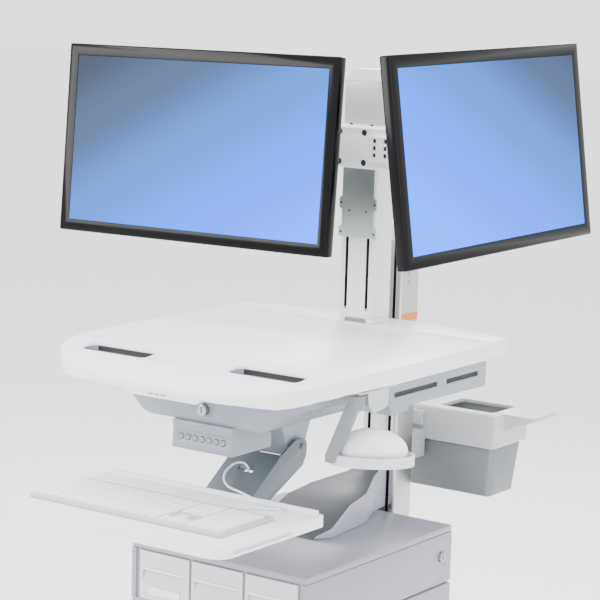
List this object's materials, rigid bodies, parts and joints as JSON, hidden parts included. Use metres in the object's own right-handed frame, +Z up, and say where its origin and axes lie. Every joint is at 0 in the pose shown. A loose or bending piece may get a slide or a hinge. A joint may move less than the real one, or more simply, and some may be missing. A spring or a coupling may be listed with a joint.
{
  "type": "medication cart",
  "caption": "Height-adjustable medication cart with a drawer cabinet, worktop, keyboard tray, mouse holder, rear bin and two monitors on a crossbar.",
  "frame": {"origin": "on the floor under the middle of the cart's outline", "axes": "+Z up; the cart's front, with the keyboard and drawers, faces -Y; its right-hand side is +X"},
  "size_m": [0.8394, 1.009, 1.4586],
  "materials": {
    "white_plastic": "satin white moulded plastic",
    "pale_plastic": "satin pale grey moulded plastic",
    "blue_grey_plastic": "satin blue-grey moulded plastic",
    "cabinet_grey": "powder-coated pale blue-grey",
    "drawer_plastic": "translucent light grey plastic",
    "dark_shroud": "dark grey moulded plastic",
    "bin_grey": "mid-grey moulded plastic",
    "black_gloss": "glossy black",
    "screen": "lit display with a blue gradient",
    "mast_aluminium": "anodised extrusion",
    "bracket_steel": "satin plated sheet",
    "lock_steel": "satin",
    "base_metal": "painted die casting",
    "tyre_and_hub": "dark grey, matt",
    "cable_sheath": "white flexible sheath"
  },
  "bodies": {
    "chassis": {"base_frame": "base_metal", "power_module": "pale_plastic", "mast": "mast_aluminium", "mast_cap": "white_plastic", "drawer_housing_1": "cabinet_grey", "drawer_housing_2": "cabinet_grey", "cabinet_lid": "cabinet_grey", "cabinet_bracket": "base_metal", "column_shroud": "dark_shroud", "bin_bracket": "pale_plastic"},
    "lift": {"lift_carriage": "base_metal", "computer_housing": "blue_grey_plastic", "rear_deck": "white_plastic", "keypad_box": "blue_grey_plastic", "head_column": "white_plastic", "head_cap": "pale_plastic", "holder_bracket": "bracket_steel"},
    "worktop_panel": {"worktop": "white_plastic"},
    "crossbar_unit": {"crossbar": "white_plastic", "slider_plate": "bracket_steel"},
    "knuckle_left": {"monitor_knuckle_left": "pale_plastic"},
    "knuckle_right": {"monitor_knuckle_right": "pale_plastic"},
    "monitor_left": {"monitor_case_left": "black_gloss", "screen_left": "screen"},
    "monitor_right": {"monitor_case_right": "black_gloss", "screen_right": "screen"},
    "arm": {"keyboard_arm": "blue_grey_plastic"},
    "tray": {"keyboard_tray": "white_plastic", "keyboard": "white_plastic", "keyboard_cable": "cable_sheath"},
    "side_tray": {"mouse_tray": "pale_plastic"},
    "holder": {"mouse_holder": "pale_plastic"},
    "mouse_body": {"mouse": "white_plastic"},
    "front_key_lock": {"front_lock": "lock_steel"},
    "cabinet_key_lock": {"cabinet_lock": "lock_steel"},
    "rear_bin": {"bin_rim": "pale_plastic", "bin_tub": "bin_grey"},
    "caster_front_left": {"caster_fork_front_left": "base_metal"},
    "wheel_front_left": {"wheel_front_left": "tyre_and_hub"},
    "pedal_left": {"brake_pedal_left": "blue_grey_plastic"},
    "caster_front_right": {"caster_fork_front_right": "base_metal"},
    "wheel_front_right": {"wheel_front_right": "tyre_and_hub"},
    "pedal_right": {"brake_pedal_right": "blue_grey_plastic"},
    "caster_rear_left": {"caster_fork_rear_left": "base_metal"},
    "wheel_rear_left": {"wheel_rear_left": "tyre_and_hub"},
    "caster_rear_right": {"caster_fork_rear_right": "base_metal"},
    "wheel_rear_right": {"wheel_rear_right": "tyre_and_hub"},
    "button_1": {"keypad_button_1": "blue_grey_plastic"},
    "button_2": {"keypad_button_2": "blue_grey_plastic"},
    "button_3": {"keypad_button_3": "blue_grey_plastic"},
    "button_4": {"keypad_button_4": "blue_grey_plastic"},
    "button_5": {"keypad_button_5": "blue_grey_plastic"},
    "button_6": {"keypad_button_6": "blue_grey_plastic"},
    "button_7": {"keypad_button_7": "blue_grey_plastic"},
    "drawer_1_tray": {"drawer_1": "drawer_plastic"},
    "drawer_2_tray": {"drawer_2": "drawer_plastic"},
    "drawer_3_tray": {"drawer_3": "drawer_plastic"},
    "drawer_4_tray": {"drawer_4": "drawer_plastic"},
    "drawer_5_tray": {"drawer_5": "drawer_plastic"},
    "drawer_6_tray": {"drawer_6": "drawer_plastic"}
  },
  "joints": [
    {"name": "caster_swivel_front_left", "type": "hinge", "parent": "chassis", "child": "caster_front_left", "pos_m": [-0.11458, -0.1875, 0.124], "axis": [0, 0, 1], "continuous": true},
    {"name": "wheel_spin_front_left", "type": "hinge", "parent": "caster_front_left", "child": "wheel_front_left", "pos_m": [-0.11458, -0.1575, 0.05], "axis": [1, 0, 0], "continuous": true},
    {"name": "brake_pedal_left", "type": "hinge", "parent": "caster_front_left", "child": "pedal_left", "pos_m": [-0.11458, -0.1175, 0.102], "axis": [1, 0, 0], "range_deg": [-12, 0]},
    {"name": "caster_swivel_front_right", "type": "hinge", "parent": "chassis", "child": "caster_front_right", "pos_m": [0.25542, -0.1875, 0.124], "axis": [0, 0, 1], "continuous": true},
    {"name": "wheel_spin_front_right", "type": "hinge", "parent": "caster_front_right", "child": "wheel_front_right", "pos_m": [0.25542, -0.1575, 0.05], "axis": [1, 0, 0], "continuous": true},
    {"name": "brake_pedal_right", "type": "hinge", "parent": "caster_front_right", "child": "pedal_right", "pos_m": [0.25542, -0.1175, 0.102], "axis": [1, 0, 0], "range_deg": [-12, 0]},
    {"name": "caster_swivel_rear_left", "type": "hinge", "parent": "chassis", "child": "caster_rear_left", "pos_m": [-0.11458, 0.2925, 0.124], "axis": [0, 0, 1], "continuous": true},
    {"name": "wheel_spin_rear_left", "type": "hinge", "parent": "caster_rear_left", "child": "wheel_rear_left", "pos_m": [-0.11458, 0.3225, 0.05], "axis": [1, 0, 0], "continuous": true},
    {"name": "caster_swivel_rear_right", "type": "hinge", "parent": "chassis", "child": "caster_rear_right", "pos_m": [0.25542, 0.2925, 0.124], "axis": [0, 0, 1], "continuous": true},
    {"name": "wheel_spin_rear_right", "type": "hinge", "parent": "caster_rear_right", "child": "wheel_rear_right", "pos_m": [0.25542, 0.3225, 0.05], "axis": [1, 0, 0], "continuous": true},
    {"name": "worktop_lift", "type": "slide", "parent": "chassis", "child": "lift", "axis": [0, 0, 1], "range_m": [-0.05, 0.15]},
    {"name": "worktop_slide", "type": "slide", "parent": "lift", "child": "worktop_panel", "axis": [0, -1, 0], "range_m": [0, 0.15]},
    {"name": "crossbar_height", "type": "slide", "parent": "lift", "child": "crossbar_unit", "axis": [0, 0, 1], "range_m": [-0.1, 0.06]},
    {"name": "monitor_pan_left", "type": "hinge", "parent": "crossbar_unit", "child": "knuckle_left", "pos_m": [-0.14808, 0.1122, 1.26675], "axis": [0, 0, 1], "range_deg": [-45, 10]},
    {"name": "monitor_tilt_left", "type": "hinge", "parent": "knuckle_left", "child": "monitor_left", "pos_m": [-0.14075, 0.00746, 1.25775], "axis": [0.9976, 0.0698, 0], "range_deg": [-15, 10]},
    {"name": "monitor_pan_right", "type": "hinge", "parent": "crossbar_unit", "child": "knuckle_right", "pos_m": [0.23462, 0.1122, 1.26675], "axis": [0, 0, 1], "range_deg": [-45, 10]},
    {"name": "monitor_tilt_right", "type": "hinge", "parent": "knuckle_right", "child": "monitor_right", "pos_m": [0.33948, 0.1067, 1.27875], "axis": [0.0523, 0.9982, 0.0297], "range_deg": [-15, 10]},
    {"name": "keyboard_arm_fold", "type": "hinge", "parent": "lift", "child": "arm", "pos_m": [0.07042, -0.0525, 0.772], "axis": [1, 0, 0], "range_deg": [-15, 10]},
    {"name": "keyboard_tray_tilt", "type": "hinge", "parent": "arm", "child": "tray", "pos_m": [0.07042, -0.1845, 0.694], "axis": [-1, 0, 0], "range_deg": [-10, 10], "deforming": ["keyboard_cable"]},
    {"name": "mouse_tray_slide", "type": "slide", "parent": "tray", "child": "side_tray", "axis": [1, 0, 0], "range_m": [0, 0.18]},
    {"name": "mouse_holder_swing", "type": "hinge", "parent": "lift", "child": "holder", "pos_m": [0.33242, -0.2045, 0.917], "axis": [0, 0, 1], "range_deg": [0, 50]},
    {"name": "mouse_lift_out", "type": "slide", "parent": "holder", "child": "mouse_body", "axis": [0, 0, 1], "range_m": [0, 0.024]},
    {"name": "front_lock_turn", "type": "hinge", "parent": "lift", "child": "front_key_lock", "pos_m": [0.07042, -0.2605, 0.86], "axis": [0, -1, 0], "range_deg": [0, 90]},
    {"name": "cabinet_lock_turn", "type": "hinge", "parent": "chassis", "child": "cabinet_key_lock", "pos_m": [0.25242, 0.1995, 0.55], "axis": [1, 0, 0], "range_deg": [0, 90]},
    {"name": "bin_lift_off", "type": "slide", "parent": "chassis", "child": "rear_bin", "axis": [0, 0, 1], "range_m": [0, 0.1]},
    {"name": "button_press_1", "type": "slide", "parent": "lift", "child": "button_1", "axis": [0, 1, 0], "range_m": [0, 0.0012], "stiffness_N_per_m": 400, "springref_m": -0.0005},
    {"name": "button_press_2", "type": "slide", "parent": "lift", "child": "button_2", "axis": [0, 1, 0], "range_m": [0, 0.0012], "stiffness_N_per_m": 400, "springref_m": -0.0005},
    {"name": "button_press_3", "type": "slide", "parent": "lift", "child": "button_3", "axis": [0, 1, 0], "range_m": [0, 0.0012], "stiffness_N_per_m": 400, "springref_m": -0.0005},
    {"name": "button_press_4", "type": "slide", "parent": "lift", "child": "button_4", "axis": [0, 1, 0], "range_m": [0, 0.0012], "stiffness_N_per_m": 400, "springref_m": -0.0005},
    {"name": "button_press_5", "type": "slide", "parent": "lift", "child": "button_5", "axis": [0, 1, 0], "range_m": [0, 0.0012], "stiffness_N_per_m": 400, "springref_m": -0.0005},
    {"name": "button_press_6", "type": "slide", "parent": "lift", "child": "button_6", "axis": [0, 1, 0], "range_m": [0, 0.0012], "stiffness_N_per_m": 400, "springref_m": -0.0005},
    {"name": "button_press_7", "type": "slide", "parent": "lift", "child": "button_7", "axis": [0, 1, 0], "range_m": [0, 0.0012], "stiffness_N_per_m": 400, "springref_m": -0.0005},
    {"name": "drawer_slide_1", "type": "slide", "parent": "chassis", "child": "drawer_1_tray", "axis": [0, -1, 0], "range_m": [0, 0.3]},
    {"name": "drawer_slide_2", "type": "slide", "parent": "chassis", "child": "drawer_2_tray", "axis": [0, -1, 0], "range_m": [0, 0.3]},
    {"name": "drawer_slide_3", "type": "slide", "parent": "chassis", "child": "drawer_3_tray", "axis": [0, -1, 0], "range_m": [0, 0.3]},
    {"name": "drawer_slide_4", "type": "slide", "parent": "chassis", "child": "drawer_4_tray", "axis": [0, -1, 0], "range_m": [0, 0.3]},
    {"name": "drawer_slide_5", "type": "slide", "parent": "chassis", "child": "drawer_5_tray", "axis": [0, -1, 0], "range_m": [0, 0.3]},
    {"name": "drawer_slide_6", "type": "slide", "parent": "chassis", "child": "drawer_6_tray", "axis": [0, -1, 0], "range_m": [0, 0.3]}
  ]
}
